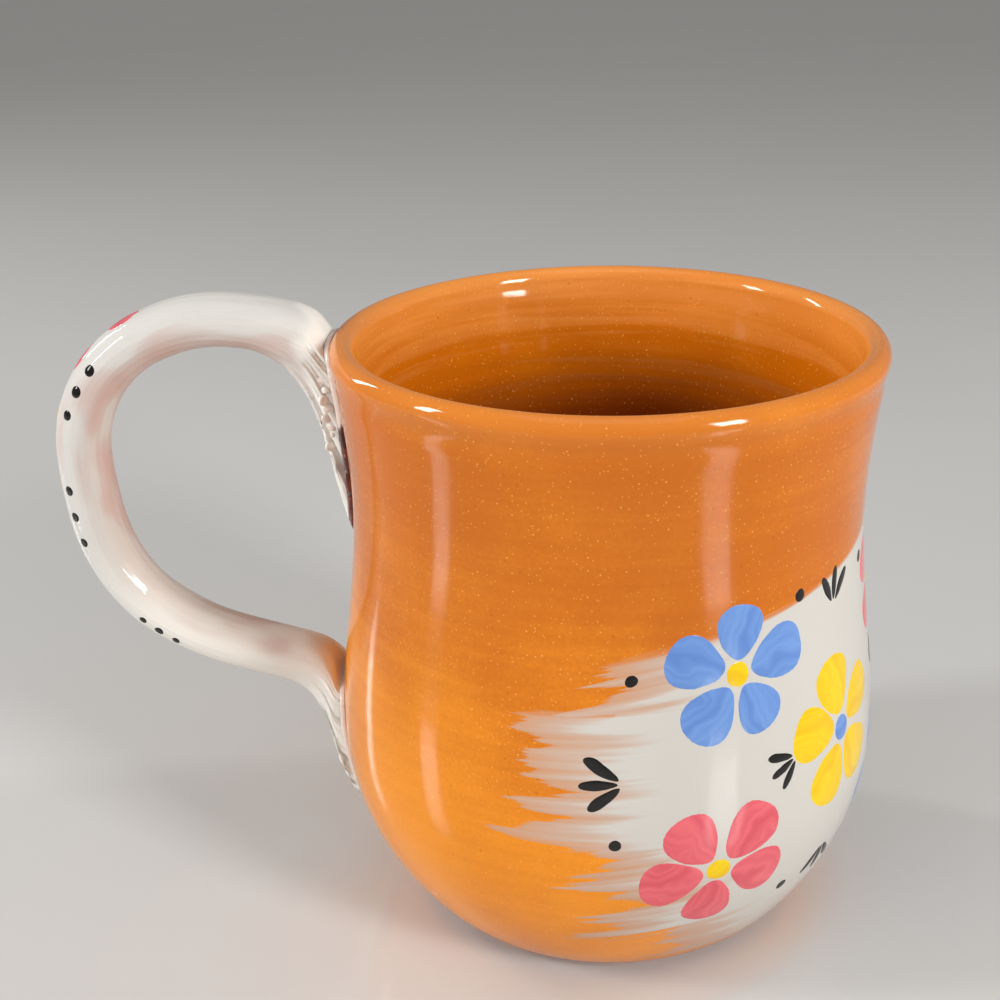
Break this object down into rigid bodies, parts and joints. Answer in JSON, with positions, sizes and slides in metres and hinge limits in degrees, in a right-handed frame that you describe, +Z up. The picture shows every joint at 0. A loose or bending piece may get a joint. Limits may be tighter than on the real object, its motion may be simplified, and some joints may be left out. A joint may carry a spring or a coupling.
{
  "type": "clay mug",
  "caption": "Wheel-thrown clay mug with a flared lip, soft waist and round belly, and a pulled loop handle luted on at the lip and the belly, for hot or cold drinks.",
  "frame": {"origin": "centre of the foot ring, on the plane it stands on", "axes": "+Z up along the thrown axis, -X towards the handle, Y across the handle"},
  "size_m": [0.1476, 0.0964, 0.113],
  "materials": {
    "glazed_terracotta": "clear gloss glaze over orange earthenware, with a brushed white slip panel and painted motifs",
    "white_slip": "clear gloss glaze over brushed white slip, pinkish where it is thin",
    "luting_clay": "glazed red-brown clay, partly slipped"
  },
  "bodies": {
    "root": {"body": "glazed_terracotta", "handle": "white_slip", "upper_luting": "luting_clay", "lower_luting": "luting_clay"}
  },
  "joints": []
}
